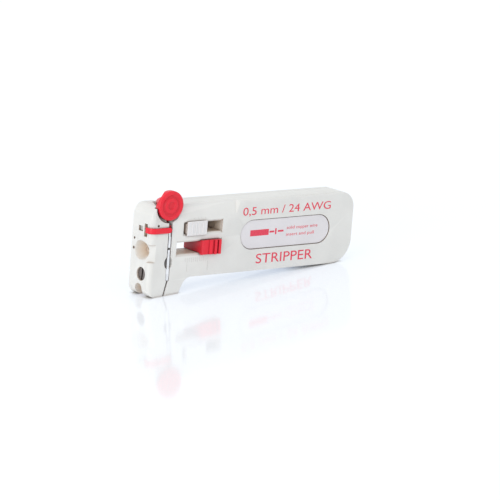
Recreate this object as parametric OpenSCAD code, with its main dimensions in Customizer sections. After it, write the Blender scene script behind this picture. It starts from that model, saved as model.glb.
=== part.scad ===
// Pocket precision wire stripper, split into the pieces it comes apart into.
// X runs from the wire entry at the nose to the rear end, Y from the printed
// side to the back, Z up. The tool stands on its narrow edge and the origin is
// the bottom centre of its bounding box.

/* [Body] */
// Overall length of nose and body
length = 100; // [98:0.5:104]
// Thickness of the flat body
thick = 12; // [12:0.1:13]
// Height of the body behind the finger hump
body_h = 28.5; // [28:0.1:30]
// Drop of the finger hump below the body
hump_h = 7; // [6.5:0.1:7.5]
// Radius of the upper rear corner
rear_r = 6.5; // [5:0.5:10]
// Radius of the lower rear corner
rear_low_r = 9.5; // [6:0.5:10]
// Radius along the two upper long edges
edge_r = 1; // [0.5:0.1:2]
// Wall of the two housing shells
wall = 2; // [1.8:0.1:2.2]

/* [Nose] */
// Length of the nose block in front of the blades
nose_len = 8.1; // [8:0.1:8.4]
// Width of the blade slit between nose and body
slit_w = 1.8; // [1.8:0.1:2]
// Height of the wire axis above the hump
wire_z = 18.3; // [18.1:0.1:18.5]
// Mouth radius of the entry funnel
funnel_r = 3.75; // [3.2:0.05:3.9]
// Radius of the bore that the wire passes
wire_r = 1.1; // [0.8:0.1:1.2]
// Height of the nose screw axis
screw_z = 8.6; // [8.5:0.1:8.9]

/* [Button] */
// Radius of the round press knob
knob_r = 5.75; // [5:0.25:6]
// Thickness of the knob's rim
knob_t = 2.7; // [2.2:0.1:2.8]
// Height of the knob centre at rest
knob_z = 35.6; // [35.4:0.1:35.7]
// Downward travel of the press knob
press = 0.7; // [0.6:0.1:1]

/* [Slides] */
// Height of the hook slide and of the guide arm
slide_z = 26; // [25.8:0.1:26.2]
// Front end of the hook slide slot
slot_x0 = 15.6; // [15.4:0.1:16]
// Rear end of both slots
slot_x1 = 33.9; // [33.8:0.1:34.2]
// Front end of the length stop slot
stop_slot_x0 = 12.8; // [12.6:0.1:13]
// Clear height of the hook slide slot
slot_h = 4.2; // [4:0.1:4.4]
// Clear height of the length stop slot
stop_slot_h = 4.7; // [4.6:0.1:4.8]

/* [Hidden] */

$fn = 64;
eps = 0.01;
gap = 0.15;
half = thick / 2;
top_z = hump_h + body_h;
body_x0 = nose_len + slit_w;
blade_x = nose_len + slit_w / 2;
split_y = 2;
cap_proud = 2;
arm_proud = 0.7;
frame_x = (length - arm_proud) / 2;

// Rest line under the hump, and the curve from the hump to the body
hump_x1 = 14.7;
rest_slope = 4.51;
rest_x = 3.64;
slant_top = 6.2;
slant_lean = 14;
slant_gap = 0.75;
fillet_r = 4.5;
fillet_x = 20.5;
hump_lean = 63;

// Screws, pins and blades
head_r = 2.5;
head_x = 0.65;
screw_y = -1.1;
head_t = 2;
shank_r = 1.5;
insert_r = 2.3;
guide_r = 1.9;
guide_x0 = 5.2;
insert_x1 = 15.6;
pin_r = 1;
pin_x1 = 12.6;
pins = [[3.6, 14.5], [-3.6, 5], [3.6, 22.2]];
blade_t = 1;
blade_y = 5.3;
blade_gap = 0.1;
blade_foot = 6.3;
blade_step = 10.8;
blade_top = 24.8;
notch_r = 0.3;
rivet_r = 0.5;
rivet_z = 24.15;
rivets = [-3.4, 0.8];
plate_t = slit_w - 2 * gap;
pusher_z0 = 23.5;
pusher_step = 27.5;
pusher_top = 33.4;
lap_x = blade_x + 0.25;

// Knob rim, the cone behind it, and the flared room around both
knob_x = 7.95;
ring_depth = 0.7;
knob_flat = 4.7;
knob_flat_angle = 146;
knob_proud = 1.2;
knob_y0 = -half - knob_proud;
knob_y1 = knob_y0 + knob_t;
cone_r1 = 4.2;
cone_r2 = 1.6;
cone_y1 = 1;
room_r1 = 6.05;
room_r2 = 1.9;
room_y1 = 3;
tongue_y0 = -4;
tongue_y1 = 0.4;
tongue_top = 35.8;
knob_pin_r = 0.6;
knob_pin_y = -3.2;
knob_pin_z = 34.7;
knob_pin_half = 1.9;

// Spring pocket across the slit
spring_y = 3.6;
spring_r = 1.5;
spring_wire = 0.4;
spring_z0 = 26;
spring_z1 = 31;
spring_turns = 5;
seat_t = 0.5;

// Hook bar and the arm beside it
hook_y = 0.8;
hook_w = 1.4;
hook_h = 1.2;
window_w = 2.6;
window_h = 2;
tip_x = 0.5;
tip_w = 2.2;
tip_h = 1.7;
nose_r = 2;
arm_gap = 0.1;
arm_h = 2.2;
arm_t = arm_proud - arm_gap;
arm_x1 = 9.3;
arm_leg_y0 = -3.15;
arm_leg_y1 = -2.55;
arm_slot_y = -2.35;
arm_slot_w = 1.9;
arm_slot_z0 = 23.3;
arm_slot_z1 = 28.3;

// Thumb slide and length stop
slide_x0 = 16.6;
slide_len = 9.5;
slide_cap_h = 5.6;
keeper_h = 5.8;
chamfer = 0.7;
stop_x0 = 23.7;
stop_len = 9.2;
stop_cap_h = 5.6;
foot_h = 8.2;
foot_y = 3.8;
foot_x0 = stop_x0 + 3.4;

// Label plate and housing screws
label_len = 45;
label_r = 5.9;
label_c = [65.9, 21.4];
label_t = 0.7;
label_sink = 0.25;
boss_r = 2.6;
tap_r = 0.9;
cap_screw_r = 2.1;
hollow_x0 = 38;
bosses = [[44, 30], [44, 12], [91, 27.5], [91, 14.5]];

ivory = [0.86, 0.86, 0.84];
red = [0.87, 0.16, 0.22];
steel = [0.72, 0.73, 0.75];
brass = [0.80, 0.65, 0.30];

// Moves a piece from the drawing frame, nose tip at x = 0 and mid-plane at
// y = 0, to the frame of the whole part
module to_frame() {
    translate([-frame_x, cap_proud / 2, 0]) children();
}

// Extrudes a drawing in the X-Z plane from y0 to y1
module slab(y0, y1) {
    translate([0, y1, 0]) rotate([90, 0, 0]) linear_extrude(y1 - y0) children();
}

// Cylinder along X from x0 to x1 at (y, z)
module rod_x(x0, x1, r, y, z) {
    translate([x0, y, z]) rotate([0, 90, 0]) cylinder(h = x1 - x0, r = r);
}

// Cylinder along Y from y0 to y1 at (x, z)
module rod_y(y0, y1, r, x, z) {
    translate([x, y0, z]) rotate([-90, 0, 0]) cylinder(h = y1 - y0, r = r);
}

// Box between two corners
module box(a, b) {
    translate(a) cube(b - a);
}

// Side outline of everything behind the slit
module body_outline() {
    low_z = hump_h + rear_low_r;
    translate([body_x0, hump_h]) square([length - rear_low_r - body_x0, body_h]);
    translate([body_x0, low_z]) square([length - rear_r - body_x0, top_z - low_z]);
    translate([body_x0, low_z]) square([length - body_x0, top_z - rear_r - low_z]);
    translate([length - rear_low_r, low_z]) circle(rear_low_r);
    translate([length - rear_r, top_z - rear_r]) circle(rear_r);
    hump_outline();
    slant_foot();
}

// Front line of the body's foot at height z, where it leans under the blades
function slant_x(z) = body_x0 - 0.5 - (slant_top - z) * tan(slant_lean);

// Wedge of the body's foot that leans forward under the blades
module slant_foot() {
    low_x = slant_x(0);
    polygon([[slant_x(slant_top), slant_top], [low_x, rest_z(low_x)],
             [body_x0 + 1, rest_z(body_x0 + 1)], [body_x0 + 1, slant_top]]);
}

// Finger hump with the concave curve that leads into the body
module hump_outline() {
    nx = sin(hump_lean);
    nz = cos(hump_lean);
    tangent = [fillet_x - fillet_r * nx, hump_h - fillet_r + fillet_r * nz];
    difference() {
        polygon([[body_x0, rest_z(body_x0)], [hump_x1, rest_z(hump_x1)], tangent,
                 [fillet_x, hump_h], [fillet_x, hump_h + 1], [body_x0, hump_h + 1]]);
        translate([fillet_x, hump_h - fillet_r]) circle(fillet_r);
    }
}

function rest_z(x) = (x - rest_x) * tan(rest_slope);

// Everything below the rounded upper long edges
module edge_limit(x0, x1) {
    translate([x0, 0, 0]) rotate([90, 0, 90]) linear_extrude(x1 - x0) {
        translate([-half, -1]) square([thick, top_z - edge_r + 1]);
        translate([-half + edge_r, -1]) square([thick - 2 * edge_r, top_z + 1]);
        for (side = [-1, 1])
            translate([side * (half - edge_r), top_z - edge_r]) circle(edge_r);
    }
}

// Space around the knob's rim to radius r and depth y, and around its cone, at
// rest and pressed
module knob_room(r, depth) {
    low_z = knob_z - press - 0.1;
    slab(-half - 1, depth) {
        translate([knob_x, low_z]) circle(r);
        translate([knob_x - r, low_z]) square([2 * r, top_z + 1 - low_z]);
    }
    translate([knob_x, -half - eps, knob_z]) rotate([-90, 0, 0])
        cylinder(h = room_y1 + half, r1 = room_r1, r2 = room_r2);
}

// Lens-shaped finger hole across the slit, open on the printed side
module blade_window() {
    intersection() {
        rod_y(-half - 1, -half + 3.9, 3, blade_x - 1.1, wire_z - 5.1);
        rod_y(-half - 1, -half + 3.9, 3, blade_x + 1.1, wire_z - 5.1);
    }
}

// Pocket of the return spring, half in the nose and half in the body
module spring_pocket() {
    translate([blade_x, spring_y, spring_z0])
        cylinder(h = spring_z1 + seat_t + 0.4 - spring_z0, r = spring_r + 0.35);
}

// Dowel pin holes over a stretch of X
module pin_holes(x0, x1) {
    for (p = pins) rod_x(x0, x1, pin_r, p[0], p[1]);
}

// Slot with bevelled edges on the printed face
module bevelled_slot(x0, x1, z, h, y1) {
    box([x0, -half - 1, z - h / 2], [x1, y1, z + h / 2]);
    translate([0, -half, z]) rotate([0, 90, 0]) translate([0, 0, x0 - chamfer / 2])
        linear_extrude(x1 - x0 + chamfer)
            polygon([[-h / 2 - chamfer, -eps], [h / 2 + chamfer, -eps],
                     [h / 2, chamfer], [-h / 2, chamfer]]);
}

module front_shell() {
    color(ivory) to_frame() difference() {
        intersection() {
            slab(-half, split_y) body_outline();
            edge_limit(rest_x, length + 1);
        }
        slab(-half + wall, split_y + 1) hollow_outline();
        for (b = bosses) rod_y(-half + wall + 1, split_y + 1, tap_r, b[0], b[1]);
        bevelled_slot(slot_x0, slot_x1, slide_z, slot_h, split_y + 1);
        bevelled_slot(stop_slot_x0, slot_x1, wire_z, stop_slot_h, split_y + 1);
        // label pocket
        slab(-half - 1, -half + label_t) stadium(label_len, label_r);
        // sloping thumb recess beside the knob
        thumb_recess();
        knob_room(knob_r + 0.35, knob_y1 + 0.3);
        blade_window();
        spring_pocket();
        pin_holes(nose_len - 1, pin_x1 + 0.1);
        // insert, rear guide and hook passage
        rod_x(body_x0 + 0.4, insert_x1, insert_r, screw_y, screw_z);
        rod_x(body_x0 - 1, body_x0 + 1, shank_r + 0.2, screw_y, screw_z);
        rod_x(body_x0 - 1, stop_slot_x0 + 1, guide_r, 0, wire_z);
        box([body_x0 - 1, hook_y - hook_w / 2 - 0.2, slide_z - hook_h / 2 - 0.2],
            [slot_x0 + 1, split_y + 1, slide_z + hook_h / 2 + 0.2]);
    }
}

// Thumb recess beside the knob, deepest at the top, with a ramp at its rear end
module thumb_recess() {
    x0 = 8.7;
    x1 = 40.6;
    ramp_x = 42.5;
    z0 = 30.2;
    z1 = top_z + 0.5;
    y0 = -half - 1;
    y1 = -half + 1.5;
    translate([x0, 0, 0]) rotate([90, 0, 90]) linear_extrude(x1 - x0)
        polygon([[y0, z0], [-half, z0], [y1, z1], [y0, z1]]);
    polyhedron(points = [[x1, y0, z0], [x1, -half, z0], [x1, y1, z1], [x1, y0, z1],
                         [ramp_x, -half, z1], [ramp_x, y0, z1]],
               faces = [[0, 1, 2, 3], [1, 4, 2], [2, 4, 5, 3], [0, 3, 5], [0, 5, 4, 1]]);
}

// Hollow behind the slots, with an even wall and four round screw bosses
module hollow_outline() {
    r = rear_r - wall;
    low_r = rear_low_r - wall;
    x1 = length - wall;
    z0 = hump_h + wall;
    z1 = top_z - wall;
    difference() {
        union() {
            translate([hollow_x0, z0]) square([x1 - low_r - hollow_x0, z1 - z0]);
            translate([hollow_x0, z0 + low_r]) square([x1 - r - hollow_x0, z1 - z0 - low_r]);
            translate([hollow_x0, z0 + low_r])
                square([x1 - hollow_x0, z1 - r - z0 - low_r]);
            translate([x1 - low_r, z0 + low_r]) circle(low_r);
            translate([x1 - r, z1 - r]) circle(r);
        }
        for (b = bosses) translate(b) circle(boss_r);
    }
}

module stadium(len, r) {
    translate([label_c[0] - len / 2 + r, label_c[1] - r]) square([len - 2 * r, 2 * r]);
    for (side = [-1, 1])
        translate([label_c[0] + side * (len / 2 - r), label_c[1]]) circle(r);
}

module back_shell() {
    color(ivory) to_frame() difference() {
        intersection() {
            slab(split_y, half) body_outline();
            edge_limit(rest_x, length + 1);
        }
        slab(split_y - 1, half - wall) hollow_outline();
        for (b = bosses) {
            rod_y(split_y - 1, half + 1, tap_r + 0.25, b[0], b[1]);
            rod_y(half - 1.5, half + 1, cap_screw_r + 0.15, b[0], b[1]);
        }
        // run of the slide keeper
        box([slot_x0, split_y - 1, slide_z - keeper_h / 2 - 0.2],
            [slot_x1, 4.6, slide_z + keeper_h / 2 + 0.2]);
        // through slot and outer run of the stop foot
        box([stop_slot_x0, split_y - 1, wire_z - stop_slot_h / 2],
            [slot_x1, half + 1, wire_z + stop_slot_h / 2]);
        box([stop_slot_x0, foot_y, wire_z - foot_h / 2 - 0.2],
            [slot_x1, half + 1, wire_z + foot_h / 2 + 0.2]);
        knob_room(knob_r + 0.35, knob_y1 + 0.3);
        spring_pocket();
        pin_holes(nose_len - 1, pin_x1 + 0.1);
    }
}

// Side outline of the nose block
module nose_outline() {
    foot_r = 3.5;
    top_r = 4.7;
    translate([foot_r, 0]) square([nose_len - foot_r, top_z - top_r]);
    translate([foot_r, 0]) square([body_x0 - foot_r, slant_top]);
    translate([0, foot_r]) square([nose_len, top_z - foot_r - top_r]);
    translate([top_r, foot_r]) square([nose_len - top_r, top_z - foot_r]);
    translate([foot_r, foot_r]) circle(foot_r);
    translate([top_r, top_z - top_r]) intersection() {
        circle(top_r);
        translate([-top_r - 1, -1]) square(top_r + 2);
    }
}

// Plan of the nose block, its near front corner rounded
module nose_plan() {
    translate([nose_r, -half]) square([body_x0 - nose_r, thick]);
    translate([0, -half + nose_r]) square([body_x0, thick - nose_r]);
    translate([nose_r, -half + nose_r]) circle(nose_r);
}

module nose_block() {
    notch = 2.1;
    funnel_z = wire_z - 0.55;
    color(ivory) to_frame() difference() {
        intersection() {
            slab(-half, half) nose_outline();
            edge_limit(-1, body_x0);
            translate([0, 0, -1]) linear_extrude(top_z + 2) nose_plan();
        }
        // leaning rear face of the foot
        slab(-half - 1, half + 1)
            polygon([[slant_x(slant_top) - slant_gap, slant_top],
                     [slant_x(-1) - slant_gap, -1], [body_x0 + 1, -1],
                     [body_x0 + 1, slant_top]]);
        // rest line under the nose
        translate([rest_x, -half - 1, 0]) rotate([0, -rest_slope, 0])
            translate([0, 0, -2]) cube([10, thick + 2, 2]);
        // entry funnel and the seat of the wire guide
        translate([-eps, 0, funnel_z]) rotate([0, 90, 0])
            cylinder(h = 4.2 + eps, r1 = funnel_r, r2 = wire_r + 0.6);
        translate([-eps, -1.4, funnel_z]) rotate([0, 90, 0])
            cylinder(h = 4.1, r1 = funnel_r - 0.1, r2 = 0.4);
        rod_x(4, nose_len + 1, wire_r, 0, wire_z);
        rod_x(guide_x0, nose_len + 1, guide_r, 0, wire_z);
        // bevel beside the funnel
        translate([0, -half, 13.6]) linear_extrude(7)
            polygon([[-1, -1], [2.6, -1], [2.6, 0], [0, 2.2], [-1, 2.2]]);
        // two small blind holes beside the funnel and one beside the arm
        rod_x(-1, 1.6, 0.6, 4.45, 17.8);
        rod_x(-1, 1.6, 0.5, 4.4, 21.6);
        rod_y(-half - 1, -half + 1.4, 0.5, 3.2, 27.9);
        // counterbore and clearance of the nose screw
        rod_x(-1, head_x + head_t, head_r + 0.15, screw_y, screw_z);
        rod_x(0, nose_len + 1, shank_r + 0.1, screw_y, screw_z);
        // half-round notch at the foot
        rod_x(-1, 4.6, notch, 0, 2.7);
        box([-1, -notch, -1], [4.6, notch, 2.7]);
        // window of the hook, and slot of the guide arm
        box([-1, hook_y - window_w / 2, slide_z - window_h / 2],
            [nose_len + 1, hook_y + window_w / 2, slide_z + window_h / 2]);
        box([-1, arm_slot_y - arm_slot_w / 2, arm_slot_z0],
            [5.2, arm_slot_y + arm_slot_w / 2, arm_slot_z1]);
        knob_room(knob_r + 0.35, knob_y1 + 0.3);
        blade_window();
        spring_pocket();
        pin_holes(3.2, nose_len + 1);
    }
}

module nose_screw() {
    color(steel) to_frame() difference() {
        union() {
            rod_x(head_x, head_x + head_t, head_r, screw_y, screw_z);
            rod_x(head_x + head_t - eps, insert_x1 - 0.6, shank_r, screw_y, screw_z);
        }
        translate([head_x - eps, screw_y, screw_z]) rotate([4, 0, 0])
            translate([0, -0.4, -head_r - 1]) cube([1, 0.8, 2 * head_r + 2]);
    }
}

module threaded_insert() {
    color(brass) to_frame() difference() {
        rod_x(body_x0 + 0.4, insert_x1, insert_r, screw_y, screw_z);
        rod_x(body_x0, insert_x1 + 1, shank_r, screw_y, screw_z);
        for (x = [11.6, 13.6])
            difference() {
                rod_x(x, x + 0.6, insert_r + 1, screw_y, screw_z);
                rod_x(x - 1, x + 2, insert_r - 0.25, screw_y, screw_z);
            }
    }
}

module dowel_pins() {
    color(steel) to_frame() for (p = pins) rod_x(3.4, pin_x1, pin_r, p[0], p[1]);
}

// Outline of a blade in the Y-Z plane, extruded to the blade's thickness
module blade_plate(z0, z1) {
    box([blade_x - blade_t / 2, -half + 0.1, z0], [blade_x + blade_t / 2, blade_y, z1]);
}

// Shallow vee with a round root that scores the insulation
module vee(up) {
    z = wire_z + up * blade_gap / 2;
    rod_x(blade_x - 1, blade_x + 1, notch_r, 0, z);
    translate([blade_x - 1, 0, z]) rotate([90, 0, 90]) linear_extrude(2)
        polygon([[0, up * 0.9], [-0.9, 0], [-0.9, -up], [0.9, -up], [0.9, 0]]);
}

module fixed_blade() {
    color(steel) to_frame() difference() {
        union() {
            blade_plate(blade_foot, wire_z - blade_gap / 2);
            box([blade_x - 0.7, -half + 0.1, blade_foot], [blade_x + 0.7, blade_y, blade_step]);
        }
        vee(-1);
        rod_x(blade_x - 1, blade_x + 1, shank_r + 0.15, screw_y, screw_z);
        box([blade_x - 1, screw_y - shank_r - 0.15, blade_foot - 1],
            [blade_x + 1, screw_y + shank_r + 0.15, screw_z]);
        pin_holes(blade_x - 1, blade_x + 1);
    }
}

module moving_blade() {
    color(steel) to_frame() difference() {
        blade_plate(wire_z + blade_gap / 2 + press, blade_top);
        translate([0, 0, press]) vee(1);
        for (dz = [0, press + 0.1]) translate([0, 0, dz])
            rod_x(blade_x - 1, blade_x + 1, pin_r + 0.1, pins[2][0], pins[2][1]);
        box([blade_x - 1, pins[2][0] - pin_r - 0.1, pins[2][1]],
            [blade_x + 1, pins[2][0] + pin_r + 0.1, pins[2][1] + press + 0.1]);
        // upper edge thinned for the lap joint with the pusher
        box([lap_x, -half, pusher_z0 - 0.1], [blade_x + 1, blade_y + 1, blade_top + 1]);
        for (y = rivets) rod_x(blade_x - 1, blade_x + 1, rivet_r, y, rivet_z);
    }
}

module blade_rivets() {
    color(steel) to_frame() for (y = rivets)
        rod_x(blade_x - blade_t / 2, blade_x + plate_t / 2, rivet_r, y, rivet_z);
}

module blade_pusher() {
    x0 = blade_x - plate_t / 2;
    x1 = blade_x + plate_t / 2;
    color(red) to_frame() difference() {
        union() {
            box([x0, -half + 0.7, pusher_z0], [x1, 1.6, pusher_step + 0.1]);
            box([x0, -half + 2.8, pusher_step], [x1, 1.6, pusher_top]);
            box([x0, 0, spring_z1 + seat_t], [x1, blade_y, pusher_top - 0.8]);
            box([x0, tongue_y0, pusher_top - 1], [x1, tongue_y1, tongue_top]);
        }
        // half lap that holds the blade
        box([x0 - 1, -half, pusher_z0 - 1], [lap_x, blade_y, blade_top]);
        // clearance of the hook bar and of its bent tip
        box([x0 - 1, hook_y - window_w / 2 - 0.1, slide_z - 1],
            [x1 + 1, 3, slide_z + hook_h / 2 + press + 0.3]);
        // clearance of the upper dowel pin
        for (dz = [0, press]) translate([0, 0, dz])
            rod_x(x0 - 1, x1 + 1, pin_r + 0.2, pins[2][0], pins[2][1]);
        // room for the guide arm's root and for the knob
        box([x0 - 1, -half, slide_z - arm_h / 2], [x1 + 1, -half + 1, slide_z + arm_h / 2]);
        rod_y(-half - 1, knob_y1, knob_r, knob_x, knob_z);
        box([x0 - 1, -half, 30.4], [x1 + 1, tongue_y0, pusher_top + 1]);
        for (y = rivets) rod_x(x0 - 1, x1 + 1, rivet_r, y, rivet_z);
        rod_x(x0 - 1, x1 + 1, knob_pin_r, knob_pin_y, knob_pin_z);
    }
}

// Plan of the arm: along the nose's front, round its corner and along its side
module arm_plan() {
    corner = [nose_r, -half + nose_r];
    bend_r = nose_r + arm_gap;
    translate([-arm_proud, corner[1]]) square([arm_t, arm_leg_y1 - corner[1]]);
    translate([corner[0], corner[1] - bend_r - arm_t])
        square([arm_x1 - arm_h / 2 - corner[0], arm_t]);
    intersection() {
        difference() {
            translate(corner) circle(bend_r + arm_t);
            translate(corner) circle(bend_r);
        }
        translate(corner - [4, 4]) square(4);
    }
}

module guide_arm() {
    z0 = slide_z - arm_h / 2;
    z1 = slide_z + arm_h / 2;
    face_y = -half - arm_gap;
    color(red) to_frame() {
        // bent bar with a rounded end
        translate([0, 0, z0]) linear_extrude(arm_h) arm_plan();
        rod_y(face_y - arm_t, face_y, arm_h / 2, arm_x1 - arm_h / 2, slide_z);
        // leg that runs in the nose slot
        box([-arm_gap - eps, arm_leg_y0, z0], [5, arm_leg_y1, z1]);
        // root that fills the pusher's notch
        box([blade_x - plate_t / 2, face_y - eps, z0],
            [blade_x + plate_t / 2, -half + 1, z1]);
    }
}

module press_knob() {
    color(red) to_frame() difference() {
        union() {
            rod_y(knob_y0, knob_y1, knob_r, knob_x, knob_z);
            translate([knob_x, knob_y1 - eps, knob_z]) rotate([-90, 0, 0])
                cylinder(h = cone_y1 - knob_y1, r1 = cone_r1, r2 = cone_r2);
        }
        // hollow centre and ring groove on the face
        rod_y(knob_y0 - 1, knob_y0 + ring_depth, 1.5, knob_x, knob_z);
        difference() {
            rod_y(knob_y0 - 1, knob_y0 + ring_depth, 4.2, knob_x, knob_z);
            rod_y(knob_y0 - 2, knob_y0 + 1, 3.1, knob_x, knob_z);
        }
        // flat on the rim behind the front disc
        translate([knob_x, knob_y0 + 0.8, knob_z]) rotate([0, -knob_flat_angle, 0])
            translate([knob_flat, 0, -4]) cube([2, knob_t, 8]);
        // slot that takes the pusher's tongue, and its cross pin
        box([blade_x - plate_t / 2, tongue_y0, knob_z - knob_r - 1],
            [blade_x + plate_t / 2, cone_y1 + 1, tongue_top]);
        rod_x(blade_x - knob_pin_half, blade_x + knob_pin_half,
              knob_pin_r, knob_pin_y, knob_pin_z);
    }
}

module knob_pin() {
    color(steel) to_frame()
        rod_x(blade_x - knob_pin_half, blade_x + knob_pin_half,
              knob_pin_r, knob_pin_y, knob_pin_z);
}

// Coil of the return spring as one swept tube of short straight pieces
function coil_point(t) =
    let (a = 360 * spring_turns * t)
    [blade_x + spring_r * cos(a), spring_y + spring_r * sin(a),
     spring_z0 + spring_wire / 2 + (spring_z1 - spring_z0 - spring_wire) * t];

// Ring of six points around the coil at parameter t
function coil_ring(t) =
    let (a = 360 * spring_turns * t, c = coil_point(t), r = spring_wire / 2)
    [for (k = [0:5]) c + r * [cos(a) * cos(60 * k), sin(a) * cos(60 * k), sin(60 * k)]];

module return_spring() {
    steps = 20 * spring_turns;
    rings = [for (i = [0:steps]) coil_ring(i / steps)];
    points = [for (ring = rings) for (p = ring) p];
    sides = [for (i = [0:steps - 1]) for (k = [0:5])
        let (a = 6 * i + k, b = 6 * i + (k + 1) % 6) [b, b + 6, a + 6, a]];
    start_cap = [for (k = [0:5]) k];
    end_cap = [for (k = [5:-1:0]) 6 * steps + k];
    color(steel) to_frame()
        polyhedron(points = points, faces = concat([start_cap], [end_cap], sides),
                   convexity = 4);
}

module spring_seat() {
    color(steel) to_frame() translate([blade_x, spring_y, spring_z1])
        cylinder(h = seat_t, r = spring_r + 0.2);
}

module wire_guide() {
    color(brass) to_frame() difference() {
        rod_x(guide_x0, nose_len, guide_r, 0, wire_z);
        rod_x(guide_x0 - 1, nose_len + 1, wire_r, 0, wire_z);
    }
}

module rear_guide() {
    color(brass) to_frame() difference() {
        rod_x(body_x0, stop_slot_x0, guide_r, 0, wire_z);
        rod_x(body_x0 - 1, stop_slot_x0 + 1, wire_r + 0.1, 0, wire_z);
        translate([body_x0 - eps, 0, wire_z]) rotate([0, 90, 0])
            cylinder(h = 0.6, r1 = wire_r + 0.6, r2 = wire_r);
    }
}

// Upright finger ribs that stand rise above a cap whose face is at y
module ribs(x0, x1, count, y, rise, z, h) {
    pitch = (x1 - x0) / count;
    for (i = [0:count - 1])
        box([x0 + i * pitch, y - rise, z - h / 2],
            [x0 + (i + 0.6) * pitch, y + 0.1, z + h / 2]);
}

module thumb_slide() {
    x1 = slide_x0 + slide_len;
    y0 = -half - 0.85;
    color(ivory) to_frame() difference() {
        union() {
            box([slide_x0, y0, slide_z - slide_cap_h / 2],
                [x1, -half - 0.1, slide_z + slide_cap_h / 2]);
            box([slide_x0, -half - 0.2, slide_z - slot_h / 2 + gap],
                [x1, split_y + 0.15, slide_z + slot_h / 2 - gap]);
            ribs(slide_x0 + 1.7, x1 - 1.2, 5, y0, 0.45, slide_z, slide_cap_h - 0.8);
        }
        // thumb hollow
        translate([slide_x0 + slide_len / 2, y0 - 24.85, slide_z - 4])
            cylinder(h = 8, r = 25, $fn = 256);
        // seat of the hook bar and the keeper screws
        box([slide_x0 - 1, hook_y - hook_w / 2, slide_z - hook_h / 2],
            [slide_x0 + 5, hook_y + hook_w / 2, slide_z + hook_h / 2]);
        for (x = slide_screw_x()) rod_y(-2, split_y + 1, 0.6, x, slide_z);
    }
}

function slide_screw_x() = [slide_x0 + 6, slide_x0 + 7.6];

module slide_keeper() {
    color(steel) to_frame() difference() {
        box([slide_x0, split_y + 0.15, slide_z - keeper_h / 2],
            [slide_x0 + slide_len, split_y + 1.15, slide_z + keeper_h / 2]);
        for (x = slide_screw_x()) rod_y(0, 5, 0.6, x, slide_z);
    }
}

module slide_screws() {
    color(steel) to_frame() for (x = slide_screw_x()) {
        rod_y(-1.8, split_y + 1.15 + eps, 0.6, x, slide_z);
        rod_y(split_y + 1.15, split_y + 1.6, 0.78, x, slide_z);
    }
}

// Bowed leaf: an arc strip between y0 and y0 + rise over a length
module leaf(x0, len, y0, rise, z0, z1, t) {
    r = (len * len / 4 + rise * rise) / (2 * rise);
    translate([x0 + len / 2, y0 + rise - r, z0]) difference() {
        intersection() {
            cylinder(h = z1 - z0, r = r, $fn = 256);
            translate([-len / 2, r - rise, 0]) cube([len, rise + 1, z1 - z0]);
        }
        translate([0, 0, -1]) cylinder(h = z1 - z0 + 2, r = r - t, $fn = 256);
    }
}

module slide_spring() {
    color(steel) to_frame()
        leaf(slide_x0 + 0.2, 4.8, split_y + 1.15, 1.2, slide_z - 1.2, slide_z + 1.2, 0.25);
}

module hook_bar() {
    color(steel) to_frame() {
        box([tip_x, hook_y - hook_w / 2, slide_z - hook_h / 2],
            [slide_x0 + 5, hook_y + hook_w / 2, slide_z + hook_h / 2]);
        box([tip_x, hook_y - tip_w / 2, slide_z - tip_h / 2],
            [tip_x + 0.8, hook_y + tip_w / 2, slide_z + tip_h / 2]);
    }
}

module length_stop() {
    x1 = stop_x0 + stop_len;
    rib_rise = 0.5;
    y0 = -half - cap_proud + rib_rise;
    stem_z = stop_slot_h / 2 - gap;
    color(red) to_frame() difference() {
        union() {
            box([stop_x0, y0, wire_z - stop_cap_h / 2],
                [x1, -half - 0.1, wire_z + stop_cap_h / 2]);
            box([stop_x0, -half - 0.2, wire_z - stem_z], [x1, foot_y + 0.1, wire_z + stem_z]);
            ribs(x1 - 5.4, x1 + 0.6, 3, y0, rib_rise, wire_z, stop_cap_h);
        }
        // finger hollow ahead of the ribs
        translate([stop_x0 + 2.2, y0 - 7.7, wire_z - 4]) cylinder(h = 8, r = 8);
        // groove ahead of the first rib
        box([x1 - 6.3, y0 - 1, wire_z - stop_cap_h], [x1 - 5.5, y0 + 0.4, wire_z + stop_cap_h]);
        // pocket of the bowed spring
        box([stop_x0 + 2.6, -2.2, wire_z + stem_z - 0.9],
            [stop_x0 + 8.4, 0.2, wire_z + stem_z + 1]);
        for (x = stop_screw_x()) rod_y(0.5, foot_y + 1, 0.7, x, wire_z);
    }
}

function stop_screw_x() = [foot_x0 + 1.6, foot_x0 + 4.3];

module stop_foot() {
    color(red) to_frame() difference() {
        box([foot_x0, foot_y + 0.1, wire_z - foot_h / 2],
            [stop_x0 + stop_len, half - 0.1, wire_z + foot_h / 2]);
        for (x = stop_screw_x()) {
            rod_y(foot_y - 1, half + 1, 0.7, x, wire_z);
            rod_y(half - 1, half + 1, 1.25, x, wire_z);
        }
    }
}

module stop_screws() {
    color(steel) to_frame() for (x = stop_screw_x()) difference() {
        union() {
            rod_y(0.6, half - 1 + eps, 0.7, x, wire_z);
            rod_y(half - 1, half - 0.2, 1.15, x, wire_z);
        }
        box([x - 0.2, half - 0.6, wire_z - 2], [x + 0.2, half, wire_z + 2]);
    }
}

module stop_spring() {
    stem_z = stop_slot_h / 2 - gap;
    color(steel) to_frame() translate([0, -0.1, wire_z + stem_z - 0.9])
        rotate([90, 0, 0]) leaf(stop_x0 + 2.8, 5.4, 0, 0.95, 0.1, 2, 0.2);
}

module label_plate() {
    color([0.9, 0.9, 0.89]) to_frame()
        slab(-half + label_sink, -half + label_t) stadium(label_len - 0.5, label_r - 0.25);
}

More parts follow.
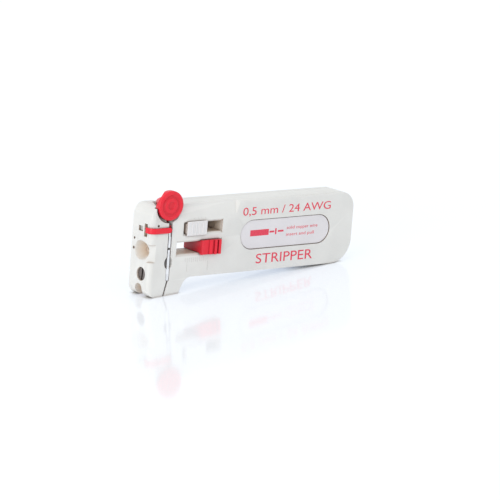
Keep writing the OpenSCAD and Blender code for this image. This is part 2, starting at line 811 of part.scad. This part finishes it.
module housing_screws() {
    color(steel) to_frame() for (b = bosses) difference() {
        union() {
            rod_y(-half + wall + 1.2, half - 1.5 + eps, tap_r, b[0], b[1]);
            rod_y(half - 1.5, half - 0.2, cap_screw_r, b[0], b[1]);
        }
        for (a = [0, 90]) translate([b[0], half, b[1]]) rotate([0, a + 20, 0])
            cube([2.4, 1.6, 0.5], center = true);
    }
}

front_shell();
back_shell();
nose_block();
nose_screw();
threaded_insert();
dowel_pins();
fixed_blade();
moving_blade();
blade_rivets();
blade_pusher();
guide_arm();
press_knob();
knob_pin();
return_spring();
spring_seat();
wire_guide();
rear_guide();
thumb_slide();
slide_keeper();
slide_screws();
slide_spring();
hook_bar();
length_stop();
stop_foot();
stop_screws();
stop_spring();
label_plate();
housing_screws();
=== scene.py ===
"""Looks of the pocket wire stripper: moulded shells, red controls, print, small steel parts."""

import math

import bmesh
import bpy
from mathutils import Matrix, Vector

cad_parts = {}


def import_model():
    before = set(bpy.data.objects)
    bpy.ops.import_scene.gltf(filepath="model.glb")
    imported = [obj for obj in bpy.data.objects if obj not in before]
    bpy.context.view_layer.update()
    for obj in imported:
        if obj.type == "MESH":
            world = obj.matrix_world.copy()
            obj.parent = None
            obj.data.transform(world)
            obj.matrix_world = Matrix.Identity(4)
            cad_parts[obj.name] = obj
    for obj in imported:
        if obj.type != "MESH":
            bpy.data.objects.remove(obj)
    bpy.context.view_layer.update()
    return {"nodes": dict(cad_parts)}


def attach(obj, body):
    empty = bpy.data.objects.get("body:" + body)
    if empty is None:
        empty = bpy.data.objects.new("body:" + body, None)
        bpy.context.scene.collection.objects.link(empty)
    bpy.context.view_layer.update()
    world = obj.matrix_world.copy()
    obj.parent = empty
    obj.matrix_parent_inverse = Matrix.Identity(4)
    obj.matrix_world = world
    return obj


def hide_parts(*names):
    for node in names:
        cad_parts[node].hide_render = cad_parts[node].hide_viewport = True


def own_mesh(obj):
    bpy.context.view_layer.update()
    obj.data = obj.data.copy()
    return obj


MM = 0.001

# The drawing frame has the nose tip at x = 0 and the mid-plane at y = 0, in millimetres.
DRAWING_TO_FRAME = (-49.65, 1.0, 0.0)

CAMERA_PLACE = (-0.797947, -0.969635, 0.280677)
CAMERA_RIGHT = (0.778873, -0.622515, 0.076369)
CAMERA_UP = (0.071532, 0.209143, 0.975265)
CAMERA_BACK = (-0.623089, -0.754145, 0.207426)
CAMERA_LENS = 237.6
SENSOR = 36.0

# The tool stands on its hump and lower rear corner, so the floor is a little inclined.
REST_SLOPE = math.radians(4.514)
REST_POINT = (3.64, 0.0, 0.0)
FLOOR_SIZE = 6.0

# The printed face and the oval label's face, in drawing millimetres.
FACE_Y = -6.0
LABEL_Y = -5.75

# How far, in metres, the painted shade of a hollow, the painted shade of a joint and the painted
# contact shadow on the table look out.
HOLLOW_SHADE_REACH = 0.0075
JOINT_SHADE_REACH = 0.0012
CONTACT_SHADOW_REACH = 0.0019


def place(x, y, z):
    """Drawing millimetres to metres in the part's frame."""
    dx, dy, dz = DRAWING_TO_FRAME
    return Vector(((x + dx) * MM, (y + dy) * MM, (z + dz) * MM))


# ---------------------------------------------------------------- materials


def new_material(name):
    """An empty node material with its Principled shader."""
    mat = bpy.data.materials.new(name)
    mat.use_nodes = True
    return mat, mat.node_tree, mat.node_tree.nodes["Principled BSDF"]


def object_coordinates(tree):
    return tree.nodes.new("ShaderNodeTexCoord").outputs["Object"]


def noise(tree, vector, scale, detail=3.0, roughness=0.5):
    node = tree.nodes.new("ShaderNodeTexNoise")
    node.inputs["Scale"].default_value = scale
    node.inputs["Detail"].default_value = detail
    node.inputs["Roughness"].default_value = roughness
    tree.links.new(vector, node.inputs["Vector"])
    return node


def ramp(tree, value, stops):
    """Colour ramp from (position, colour) pairs."""
    node = tree.nodes.new("ShaderNodeValToRGB")
    elements = node.color_ramp.elements
    while len(elements) < len(stops):
        elements.new(0.5)
    for element, (position, colour) in zip(elements, stops):
        element.position = position
        element.color = (*colour, 1.0)
    tree.links.new(value, node.inputs["Fac"])
    return node


def grey(value):
    return (value, value, value)


def shade(colour, factor):
    return tuple(min(1.0, c * factor) for c in colour)


def bump(tree, height, strength, distance, normal=None):
    node = tree.nodes.new("ShaderNodeBump")
    node.inputs["Strength"].default_value = strength
    node.inputs["Distance"].default_value = distance
    tree.links.new(height, node.inputs["Height"])
    if normal is not None:
        tree.links.new(normal, node.inputs["Normal"])
    return node


def openness(tree, reach, only_local):
    """How open a surface is within a short reach, from 0 in a closed corner to 1."""
    node = tree.nodes.new("ShaderNodeAmbientOcclusion")
    node.samples = 6
    node.only_local = only_local
    node.inputs["Distance"].default_value = reach
    return node.outputs["AO"]


def painted_shade(tree, colour, shade_colour, reach, only_local):
    """Paints shade: blends a colour towards the shade colour where the surface is closed in."""
    blend = ramp(tree, openness(tree, reach, only_local), [(0.2, grey(1.0)), (0.88, grey(0.0))])
    mix = tree.nodes.new("ShaderNodeMix")
    mix.data_type = "RGBA"
    tree.links.new(blend.outputs["Color"], mix.inputs["Factor"])
    tree.links.new(colour, mix.inputs["A"])
    mix.inputs["B"].default_value = (*shade_colour, 1.0)
    return mix.outputs["Result"]


def plastic(name, colour, roughness, grain, wear, shade_colour, only_local=False, joint_shade=None):
    """Moulded plastic: mottled colour, mould grain, uneven gloss, paler edges, and painted shade
    in its hollows and joints.
    """
    mat, tree, shader = new_material(name)
    where = object_coordinates(tree)
    mottle = noise(tree, where, 90.0, 4.0)
    body = ramp(tree, mottle.outputs["Fac"],
                [(0.3, shade(colour, 0.955)), (0.7, shade(colour, 1.035))])
    edge = tree.nodes.new("ShaderNodeNewGeometry")
    worn = ramp(tree, edge.outputs["Pointiness"], [(0.52, grey(0.0)), (0.62, grey(wear))])
    mix = tree.nodes.new("ShaderNodeMix")
    mix.data_type = "RGBA"
    tree.links.new(worn.outputs["Color"], mix.inputs["Factor"])
    tree.links.new(body.outputs["Color"], mix.inputs["A"])
    mix.inputs["B"].default_value = (*shade(colour, 1.15), 1.0)
    # Painted shade: the colour darkens towards the hollow shade colour in closed-in corners and
    # recesses, and towards the joint shade colour in narrow gaps between parts.
    surface = painted_shade(tree, mix.outputs["Result"], shade_colour, HOLLOW_SHADE_REACH, only_local)
    if joint_shade:
        surface = painted_shade(tree, surface, joint_shade, JOINT_SHADE_REACH, False)
    tree.links.new(surface, shader.inputs["Base Color"])
    gloss = noise(tree, where, 700.0, 3.0)
    rough = ramp(tree, gloss.outputs["Fac"],
                 [(0.3, grey(roughness - 0.05)), (0.7, grey(roughness + 0.07))])
    tree.links.new(rough.outputs["Color"], shader.inputs["Roughness"])
    fine = noise(tree, where, 7000.0, 2.0)
    coarse = noise(tree, where, 260.0, 2.0)
    first = bump(tree, coarse.outputs["Fac"], 0.12, 0.00008)
    last = bump(tree, fine.outputs["Fac"], grain, 0.00003, first.outputs["Normal"])
    tree.links.new(last.outputs["Normal"], shader.inputs["Normal"])
    shader.inputs["IOR"].default_value = 1.5
    shader.inputs["Subsurface Weight"].default_value = 0.05
    shader.inputs["Subsurface Radius"].default_value = (0.8, 0.7, 0.6)
    shader.inputs["Subsurface Scale"].default_value = 0.0008
    return mat


def metal(name, colour, roughness, along, streak):
    """Machined metal with fine tool marks along one axis and uneven tarnish."""
    mat, tree, shader = new_material(name)
    where = object_coordinates(tree)
    mapping = tree.nodes.new("ShaderNodeMapping")
    scale = [6000.0, 6000.0, 6000.0]
    scale["XYZ".index(along)] = 350.0
    mapping.inputs["Scale"].default_value = scale
    tree.links.new(where, mapping.inputs["Vector"])
    marks = noise(tree, mapping.outputs["Vector"], 1.0, 3.0)
    tarnish = noise(tree, where, 500.0, 4.0)
    body = ramp(tree, tarnish.outputs["Fac"],
                [(0.3, shade(colour, 0.78)), (0.7, shade(colour, 1.05))])
    tree.links.new(body.outputs["Color"], shader.inputs["Base Color"])
    rough = ramp(tree, marks.outputs["Fac"],
                 [(0.3, grey(roughness - 0.08)), (0.7, grey(roughness + 0.1))])
    tree.links.new(rough.outputs["Color"], shader.inputs["Roughness"])
    lines = bump(tree, marks.outputs["Fac"], streak, 0.00002)
    tree.links.new(lines.outputs["Normal"], shader.inputs["Normal"])
    shader.inputs["Metallic"].default_value = 1.0
    return mat


def ink(name, colour):
    """Pad-printed ink, slightly thin in places."""
    mat, tree, shader = new_material(name)
    where = object_coordinates(tree)
    thin = noise(tree, where, 2600.0, 4.0, 0.7)
    body = ramp(tree, thin.outputs["Fac"],
                [(0.32, shade(colour, 1.2)), (0.6, shade(colour, 0.96))])
    tree.links.new(body.outputs["Color"], shader.inputs["Base Color"])
    film = bump(tree, thin.outputs["Fac"], 0.2, 0.00001)
    tree.links.new(film.outputs["Normal"], shader.inputs["Normal"])
    shader.inputs["Roughness"].default_value = 0.42
    return mat


# ------------------------------------------------------------------- pieces


def finish_piece(name, mesh, mat, body, nodes=(), bevel=0.0, segments=2, angle=35.0):
    """Makes an object of a mesh, rounds its edges, ties it to its body and hides the CAD nodes it
    stands in for.
    """
    obj = bpy.data.objects.new(name, mesh)
    bpy.context.scene.collection.objects.link(obj)
    mesh.materials.clear()
    mesh.materials.append(mat)
    for polygon in mesh.polygons:
        polygon.use_smooth = True
    mesh.set_sharp_from_angle(angle=math.radians(angle))
    if bevel > 0:
        rounding = obj.modifiers.new("edge", "BEVEL")
        rounding.width = bevel * MM
        rounding.segments = segments
        rounding.limit_method = "ANGLE"
        rounding.angle_limit = math.radians(angle)
        rounding.use_clamp_overlap = True
        rounding.harden_normals = True
        rounding.miter_outer = "MITER_ARC"
    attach(obj, body)
    if nodes:
        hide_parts(*nodes)
    return obj


def cad_copy(frame, node):
    """Clean copy of a CAD node's mesh, with its flat faces joined up again."""
    bm = bmesh.new()
    bm.from_mesh(frame["nodes"][node].data)
    bmesh.ops.remove_doubles(bm, verts=bm.verts, dist=2e-6)
    bmesh.ops.dissolve_degenerate(bm, dist=1e-6, edges=bm.edges)
    bmesh.ops.dissolve_limit(bm, angle_limit=math.radians(0.5), verts=bm.verts, edges=bm.edges,
                             use_dissolve_boundaries=False)
    mesh = bpy.data.meshes.new(node)
    bm.to_mesh(mesh)
    bm.free()
    return mesh


def moulded(frame, node, name, mat, body, bevel):
    """A piece with the CAD node's shape and moulded, rounded edges."""
    return finish_piece(name, cad_copy(frame, node), mat, body, (node,), bevel)


def lathe(profile, centre, count):
    """Solid of revolution about Y through centre, from (radius, y) pairs, closed on the axis."""
    bm = bmesh.new()
    rings = []
    cx, cz = centre
    for radius, y in profile:
        if radius == 0:
            rings.append([bm.verts.new(place(cx, y, cz))])
            continue
        ring = []
        for i in range(count):
            a = 2 * math.pi * i / count
            spot = place(cx + radius * math.cos(a), y, cz + radius * math.sin(a))
            ring.append(bm.verts.new(spot))
        rings.append(ring)
    for a, b in zip(rings, rings[1:]):
        for i in range(count):
            j = (i + 1) % count
            corners = [a[i % len(a)], a[j % len(a)], b[j % len(b)], b[i % len(b)]]
            unique = list(dict.fromkeys(corners))
            if len(unique) > 2:
                bm.faces.new(unique)
    bmesh.ops.recalc_face_normals(bm, faces=bm.faces)
    mesh = bpy.data.meshes.new("lathe")
    bm.to_mesh(mesh)
    bm.free()
    return mesh


def prism(outline, x0, x1):
    """Solid of a (y, z) outline drawn out along X from x0 to x1."""
    bm = bmesh.new()
    ends = [[bm.verts.new(place(x, y, z)) for y, z in outline] for x in (x0, x1)]
    for end in ends:
        bm.faces.new(end)
    count = len(outline)
    for i in range(count):
        j = (i + 1) % count
        bm.faces.new([ends[0][i], ends[0][j], ends[1][j], ends[1][i]])
    bmesh.ops.recalc_face_normals(bm, faces=bm.faces)
    mesh = bpy.data.meshes.new("prism")
    bm.to_mesh(mesh)
    bm.free()
    return mesh


def strap(path, thickness, corner, middle):
    """Bar with rounded edges that follows a level path of (x, y, half height) stations."""
    bm = bmesh.new()
    rings = []
    for i, (x, y, half) in enumerate(path):
        before, after = path[max(i - 1, 0)], path[min(i + 1, len(path) - 1)]
        along = Vector((after[0] - before[0], after[1] - before[1], 0.0)).normalized()
        side = Vector((-along.y, along.x, 0.0))
        r = min(corner, half * 0.9)
        ring = []
        for sy, sz, start in ((1, 1, 0), (-1, 1, 90), (-1, -1, 180), (1, -1, 270)):
            for step in range(CORNER_STEPS + 1):
                a = math.radians(start + 90 * step / CORNER_STEPS)
                across = sy * (thickness / 2 - r) + r * math.cos(a)
                up = sz * (half - r) + r * math.sin(a)
                spot = Vector((x, y, middle + up)) + across * side
                ring.append(bm.verts.new(place(*spot)))
        rings.append(ring)
    for a, b in zip(rings, rings[1:]):
        for i in range(len(a)):
            j = (i + 1) % len(a)
            bm.faces.new([a[i], a[j], b[j], b[i]])
    bm.faces.new(rings[0])
    bm.faces.new(rings[-1])
    bmesh.ops.recalc_face_normals(bm, faces=bm.faces)
    mesh = bpy.data.meshes.new("strap")
    bm.to_mesh(mesh)
    bm.free()
    return mesh


def arc(cx, cy, radius, start, end, steps):
    """Points of an arc in plan, its angles in degrees."""
    points = []
    for i in range(steps + 1):
        a = math.radians(start + (end - start) * i / steps)
        points.append((cx + radius * math.cos(a), cy + radius * math.sin(a)))
    return points


def bars(boxes):
    """One mesh of separate upright bars, each given by its two corners in drawing millimetres."""
    bm = bmesh.new()
    for low, high in boxes:
        a, b = place(*low), place(*high)
        middle = Matrix.Translation((a + b) / 2)
        size = Matrix.Diagonal((*(b - a), 1.0))
        bmesh.ops.create_cube(bm, size=1.0, matrix=middle @ size)
    mesh = bpy.data.meshes.new("bars")
    bm.to_mesh(mesh)
    bm.free()
    return mesh


def lettering(words, x0, x1, z0, z1, y):
    """Mesh of a line of print that fills the given box on the printed face."""
    curve = bpy.data.curves.new("words", "FONT")
    curve.body = words
    curve.size = 1.0
    curve.extrude = 0.5
    curve.resolution_u = 6
    holder = bpy.data.objects.new("words", curve)
    bpy.context.scene.collection.objects.link(holder)
    bpy.context.view_layer.update()
    graph = bpy.context.evaluated_depsgraph_get()
    mesh = bpy.data.meshes.new_from_object(holder.evaluated_get(graph))
    bpy.data.objects.remove(holder)
    bpy.data.curves.remove(curve)
    xs = [v.co.x for v in mesh.vertices]
    ys = [v.co.y for v in mesh.vertices]
    left, low = min(xs), min(ys)
    sx = (x1 - x0) / (max(xs) - left)
    sz = (z1 - z0) / (max(ys) - low)
    for v in mesh.vertices:
        x, z, depth = v.co
        v.co = place(x0 + (x - left) * sx, y - (depth + 0.5) * PRINT_DEPTH, z0 + (z - low) * sz)
    bm = bmesh.new()
    bm.from_mesh(mesh)
    bmesh.ops.remove_doubles(bm, verts=bm.verts, dist=1e-7)
    bmesh.ops.recalc_face_normals(bm, faces=bm.faces)
    bm.to_mesh(mesh)
    bm.free()
    return mesh


# --------------------------------------------------------------- the object


def make_materials():
    # The fourth colour of each plastic is the painted shade of its hollows; the shell's last
    # colour is the painted shade of its joints.
    return {
        "shell": plastic("shell_plastic", (0.735, 0.722, 0.69), 0.46, 0.35, 0.3,
                         (0.65, 0.50, 0.36), True, (0.24, 0.17, 0.15)),
        "slide": plastic("slide_plastic", (0.735, 0.715, 0.71), 0.4, 0.2, 0.4,
                         (0.42, 0.33, 0.26)),
        "label": plastic("label_plastic", (0.73, 0.70, 0.71), 0.38, 0.15, 0.3,
                         (0.5, 0.44, 0.42)),
        "red": plastic("red_plastic", (0.79, 0.008, 0.028), 0.36, 0.25, 0.25,
                       (0.12, 0.001, 0.006)),
        "steel": metal("steel", (0.60, 0.60, 0.61), 0.3, "X", 0.3),
        "dark_steel": metal("dark_steel", (0.24, 0.205, 0.19), 0.42, "Y", 0.3),
        "hook_steel": metal("hook_steel", (0.62, 0.60, 0.56), 0.45, "X", 0.3),
        "blade": metal("blade_steel", (0.90, 0.90, 0.91), 0.42, "Y", 0.25),
        "spring": metal("spring_steel", (0.50, 0.51, 0.53), 0.3, "Z", 0.2),
        "brass": metal("brass", (0.72, 0.52, 0.22), 0.3, "X", 0.3),
        "ink": ink("red_ink", (0.72, 0.045, 0.085)),
    }


CAD_PIECES = [
    # node, piece, material, body, slot, edge radius in mm
    ("front_shell", "front_half", "shell", "housing", "shell_plastic", 0.25),
    ("back_shell", "back_half", "shell", "housing", "shell_plastic", 0.25),
    ("nose_block", "nose", "shell", "housing", "shell_plastic", 0.3),
    ("label_plate", "label", "label", "housing", "label_plastic", 0.12),
    ("nose_screw", "front_screw", "dark_steel", "housing", "steel", 0.1),
    ("threaded_insert", "insert", "brass", "housing", "brass", 0.06),
    ("dowel_pins", "pins", "steel", "housing", "steel", 0.15),
    ("fixed_blade", "lower_blade", "blade", "housing", "tool_steel", 0.03),
    ("moving_blade", "upper_blade", "blade", "pusher", "tool_steel", 0.03),
    ("blade_rivets", "rivets", "steel", "pusher", "steel", 0.05),
    ("blade_pusher", "pusher_plate", "red", "pusher", "red_plastic", 0.1),
    ("knob_pin", "cross_pin", "steel", "pusher", "steel", 0.05),
    ("spring_seat", "seat", "spring", "pusher", "spring_steel", 0.08),
    ("wire_guide", "front_bush", "brass", "housing", "brass", 0.08),
    ("rear_guide", "rear_bush", "brass", "housing", "brass", 0.08),
    ("slide_keeper", "keeper", "steel", "slider", "steel", 0.08),
    ("slide_screws", "keeper_screws", "steel", "slider", "steel", 0.05),
    ("slide_spring", "slide_leaf", "spring", "slider", "spring_steel", 0.04),
    ("hook_bar", "hook", "hook_steel", "slider", "steel", 0.1),
    ("length_stop", "stop_body", "red", "stop", "red_plastic", 0.22),
    ("stop_foot", "foot", "red", "stop", "red_plastic", 0.2),
    ("stop_screws", "foot_screws", "steel", "stop", "steel", 0.05),
    ("stop_spring", "stop_leaf", "spring", "stop", "spring_steel", 0.04),
    ("housing_screws", "case_screws", "steel", "housing", "steel", 0.08),
]

KNOB_CENTRE = (7.95, 35.6)
KNOB_PROFILE = [
    (0.0, -6.66), (0.95, -6.68), (1.25, -6.75), (1.42, -6.92), (1.55, -7.1), (1.75, -7.18),
    (2.25, -7.2), (2.75, -7.18), (2.97, -7.09), (3.1, -6.9), (3.25, -6.74), (3.55, -6.68),
    (3.85, -6.72), (4.05, -6.86), (4.2, -7.04), (4.4, -7.12), (4.9, -7.12), (5.3, -7.06),
    (5.58, -6.94), (5.72, -6.75), (5.75, -6.6), (5.75, -6.44), (5.75, -6.4), (5.75, -4.75),
    (5.68, -4.6), (5.5, -4.52), (4.4, -4.5), (4.2, -4.4), (3.4, -2.8), (2.5, -0.9),
    (1.75, 0.7), (1.6, 0.95), (1.35, 1.0), (0.0, 1.0),
]
KNOB_FLAT_ANGLE = math.radians(146.0)
KNOB_FLAT = 4.7
KNOB_FLAT_Y = -6.42
RING_SEGMENTS = 96

SLIDE_Z = 26.0
CORNER_STEPS = 4

# The arm's strap: half its height, its thickness and edge radius, where it runs along the
# printed side, where its round end starts and how far that end reaches.
ARM_HALF = 1.1
ARM_THICKNESS = 0.58
ARM_EDGE = 0.22
ARM_SIDE_Y = -6.4
ARM_END_X = 8.2
ARM_END_REACH = 1.1
ARM_END_STEPS = 11

# Block behind the arm's round end, at the slit: its x and y limits, and half its height.
ROOT_X = (8.27, 9.0)
ROOT_Y = (-6.3, -5.1)
ROOT_HALF = 1.0

# The thumb slide's section: its cap stands out over the face on a narrower stem.
SLIDE_ENDS = (16.6, 26.1)
CAP_Y = -6.95
UNDER_CAP_Y = -6.1
STEM_Y = 2.15
CAP_HALF = 2.8
STEM_HALF = 1.95
RIB_COUNT = 4
RIB_PITCH = 1.7
RIB_WIDTH = 0.8
RIB_MARGIN = 1.9
RIB_INSET = 0.5
RIB_RISE = 0.16
RIB_SINK = 0.3

# Raised marks: the length scale below the stop's slot, and four short marks above the slide.
TICK_PITCH = 1.0
TICK_X0 = 18.2
TICK_COUNT = 11
TICK_TOP = 14.4
TICK_LOW = 12.8
LONG_LOW = 9.0
TICK_HALF = 0.11
TICK_RISE = 0.07
MARK_X0 = 20.3
MARK_PITCH = 1.73
MARK_COUNT = 4
MARK_LOW = 29.5
MARK_TOP = 30.1
MARK_HALF = 0.1
MARK_RISE = 0.06
MARK_SINK = 0.02

# Print: how thick it stands, how far it is let into the face, and the bars of the
# stripped-wire sign on the label as (x0, z0, x1, z1).
PRINT_DEPTH = 0.03
PRINT_SINK = 0.002
WIRE_SIGN = [
    (48.4, 20.7, 57.6, 23.1),
    (58.0, 21.55, 60.4, 22.25),
    (60.8, 20.7, 61.5, 23.1),
    (62.2, 21.55, 65.0, 22.25),
]


def make_knob(mats):
    """Ringed press knob, with a flat on its rim behind the front disc."""
    mesh = lathe(KNOB_PROFILE, KNOB_CENTRE, RING_SEGMENTS)
    centre = place(KNOB_CENTRE[0], KNOB_FLAT_Y, KNOB_CENTRE[1])
    outward = Vector((math.cos(KNOB_FLAT_ANGLE), 0.0, math.sin(KNOB_FLAT_ANGLE)))
    for v in mesh.vertices:
        beyond = (v.co - centre).dot(outward) - KNOB_FLAT * MM
        if v.co.y > centre.y and beyond > 0:
            v.co -= beyond * outward
    finish_piece("knob", mesh, mats["red"], "pusher", ("press_knob",),
                 angle=60.0)


def make_arm(mats):
    """Red arm: out of the nose slot, round the near corner, and along the side to a round end."""
    level = [(4.9, -2.85), (2.0, -2.85)] + arc(0.0, -3.25, 0.4, 90, 180, 8)
    level += arc(2.0, -4.0, 2.4, 180, 270, 20)
    path = [(x, y, ARM_HALF) for x, y in level]
    path += [(x, ARM_SIDE_Y, ARM_HALF) for x in (4.0, 6.0, ARM_END_X)]
    for i in range(1, ARM_END_STEPS + 1):
        t = math.sin(math.radians(90 * i / (ARM_END_STEPS + 0.5)))
        half = ARM_HALF * math.sqrt(1 - t * t)
        path.append((ARM_END_X + ARM_END_REACH * t, ARM_SIDE_Y, half))
    mesh = strap(path, ARM_THICKNESS, ARM_EDGE, SLIDE_Z)
    finish_piece("arm", mesh, mats["red"], "pusher", ("guide_arm",), angle=60.0)
    root = bars([((ROOT_X[0], ROOT_Y[0], SLIDE_Z - ROOT_HALF),
                  (ROOT_X[1], ROOT_Y[1], SLIDE_Z + ROOT_HALF))])
    finish_piece("arm_root", root, mats["red"], "pusher", bevel=0.08)


def make_spring(frame, mats):
    """Return spring, copied from the CAD coil with a mesh of its own."""
    spring = moulded(frame, "return_spring", "coil", mats["spring"], "housing",
                     0.0)
    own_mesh(spring)


def make_slide(mats):
    """Thumb slide: a cap on a stem in its slot, with upright finger ribs."""
    outline = [(CAP_Y, -CAP_HALF), (CAP_Y, CAP_HALF),
               (UNDER_CAP_Y, CAP_HALF), (UNDER_CAP_Y, STEM_HALF),
               (STEM_Y, STEM_HALF), (STEM_Y, -STEM_HALF),
               (UNDER_CAP_Y, -STEM_HALF), (UNDER_CAP_Y, -CAP_HALF)]
    outline = [(y, SLIDE_Z + z) for y, z in outline]
    finish_piece("slide", prism(outline, *SLIDE_ENDS), mats["slide"], "slider",
                 ("thumb_slide",), bevel=0.3, segments=3)
    low, high = SLIDE_Z - CAP_HALF + RIB_INSET, SLIDE_Z + CAP_HALF - RIB_INSET
    ribs = []
    for i in range(RIB_COUNT):
        x = SLIDE_ENDS[0] + RIB_MARGIN + i * RIB_PITCH
        ribs.append(((x, CAP_Y - RIB_RISE, low), (x + RIB_WIDTH, CAP_Y + RIB_SINK, high)))
    finish_piece("slide_ribs", bars(ribs), mats["slide"], "slider",
                 bevel=0.18, segments=3)


def upright_mark(x, half, rise, low, top):
    """Corners of a raised mark on the printed face."""
    return (x - half, FACE_Y - rise, low), (x + half, FACE_Y + MARK_SINK, top)


def make_ticks(mats):
    """Ticks of the length scale, long at its two ends, and the marks above the slide."""
    boxes = []
    for i in range(-1, TICK_COUNT):
        x = TICK_X0 + i * TICK_PITCH
        low = LONG_LOW if i in (0, TICK_COUNT - 1) else TICK_LOW
        boxes.append(upright_mark(x, TICK_HALF, TICK_RISE, low, TICK_TOP))
    for i in range(MARK_COUNT):
        x = MARK_X0 + i * MARK_PITCH
        boxes.append(upright_mark(x, MARK_HALF, MARK_RISE, MARK_LOW, MARK_TOP))
    finish_piece("length_ticks", bars(boxes), mats["shell"], "housing",
                 bevel=0.02, segments=1)


def make_print(mats):
    """The wire size and the tool's type on the face, and the print on the label."""
    y = FACE_Y + PRINT_SINK
    size_line = lettering("0,5 mm / 24 AWG", 43.9, 88.1, 28.7, 32.35, y)
    finish_piece("size_print", size_line, mats["ink"], "housing")
    name_line = lettering("STRIPPER", 52.0, 80.5, 9.7, 13.55, y)
    finish_piece("type_print", name_line, mats["ink"], "housing")
    make_label_print(mats)


def make_label_print(mats):
    """Stripped-wire pictogram and two lines of small print on the oval label."""
    y = LABEL_Y + PRINT_SINK
    wire = bars([((x0, y - PRINT_DEPTH, z0), (x1, y, z1)) for x0, z0, x1, z1 in WIRE_SIGN])
    finish_piece("wire_sign", wire, mats["ink"], "housing")
    upper = lettering("solid copper wire", 66.6, 82.2, 22.0, 23.6, y)
    finish_piece("label_print_1", upper, mats["ink"], "housing")
    lower = lettering("insert and pull", 66.6, 80.6, 19.3, 20.9, y)
    finish_piece("label_print_2", lower, mats["ink"], "housing")


def make_object(frame, mats):
    for node, name, mat, body, slot, bevel in CAD_PIECES:
        moulded(frame, node, name, mats[mat], body, bevel)
    make_spring(frame, mats)
    make_knob(mats)
    make_arm(mats)
    make_slide(mats)
    make_ticks(mats)
    make_print(mats)


# ---------------------------------------------------------------- the studio


def make_camera():
    data = bpy.data.cameras.new("camera")
    data.lens = CAMERA_LENS
    data.sensor_width = SENSOR
    data.clip_start = 0.05
    data.clip_end = 50.0
    camera = bpy.data.objects.new("camera", data)
    bpy.context.scene.collection.objects.link(camera)
    columns = Matrix((CAMERA_RIGHT, CAMERA_UP, CAMERA_BACK)).transposed()
    camera.matrix_world = Matrix.Translation(CAMERA_PLACE) @ columns.to_4x4()
    bpy.context.scene.camera = camera


def area_light(name, place_at, aim, size, power, colour=(1.0, 1.0, 1.0)):
    data = bpy.data.lights.new(name, "AREA")
    data.shape = "SQUARE"
    data.size = size
    data.energy = power
    data.color = colour
    light = bpy.data.objects.new(name, data)
    bpy.context.scene.collection.objects.link(light)
    light.location = place_at
    light.rotation_mode = "QUATERNION"
    light.rotation_quaternion = (Vector(aim) - Vector(place_at)).to_track_quat("-Z", "Y")


def make_floor():
    """Pale glossy table top, inclined so that the tool rests on it, with a painted contact shadow
    under the tool.
    """
    mat, tree, shader = new_material("table_top")
    where = object_coordinates(tree)
    cloud = noise(tree, where, 3.0, 2.0)
    body = ramp(tree, cloud.outputs["Fac"],
                [(0.3, (0.64, 0.60, 0.50)), (0.7, (0.66, 0.62, 0.52))])
    tree.links.new(body.outputs["Color"], shader.inputs["Base Color"])
    # Painted contact shadow: the table's bluish glow dims to near black where the tool closes it
    # in.
    glow_with_contact_shadow = ramp(tree, openness(tree, CONTACT_SHADOW_REACH, False),
                [(0.2, (0.02, 0.025, 0.035)), (0.9, (0.28, 0.33, 0.44))])
    tree.links.new(glow_with_contact_shadow.outputs["Color"], shader.inputs["Emission Color"])
    shader.inputs["Emission Strength"].default_value = 1.0
    shader.inputs["Roughness"].default_value = 0.09
    shader.inputs["IOR"].default_value = 1.5
    shader.inputs["Specular Tint"].default_value = (0.55, 0.78, 1.0, 1.0)
    bm = bmesh.new()
    bmesh.ops.create_grid(bm, x_segments=2, y_segments=2, size=FLOOR_SIZE / 2)
    mesh = bpy.data.meshes.new("floor")
    bm.to_mesh(mesh)
    bm.free()
    mesh.materials.append(mat)
    floor = bpy.data.objects.new("floor", mesh)
    bpy.context.scene.collection.objects.link(floor)
    tilt = Matrix.Rotation(-REST_SLOPE, 4, "Y")
    floor.matrix_world = Matrix.Translation(place(*REST_POINT)) @ tilt


def make_world():
    world = bpy.data.worlds.new("studio")
    bpy.context.scene.world = world
    world.use_nodes = True
    background = world.node_tree.nodes["Background"]
    background.inputs["Color"].default_value = (0.955, 0.98, 1.0, 1.0)
    background.inputs["Strength"].default_value = 1.0


def make_studio():
    make_camera()
    make_floor()
    make_world()
    area_light("key", (-0.9, -0.15, 0.9), (0, 0, 0.02), 0.8, 0.8)
    area_light("front", (-1.12, -0.42, 0.16), (0, 0, 0.02), 0.6, 4.0)
    bpy.context.scene.view_settings.view_transform = "Standard"


def main():
    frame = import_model()
    make_object(frame, make_materials())
    make_studio()


main()
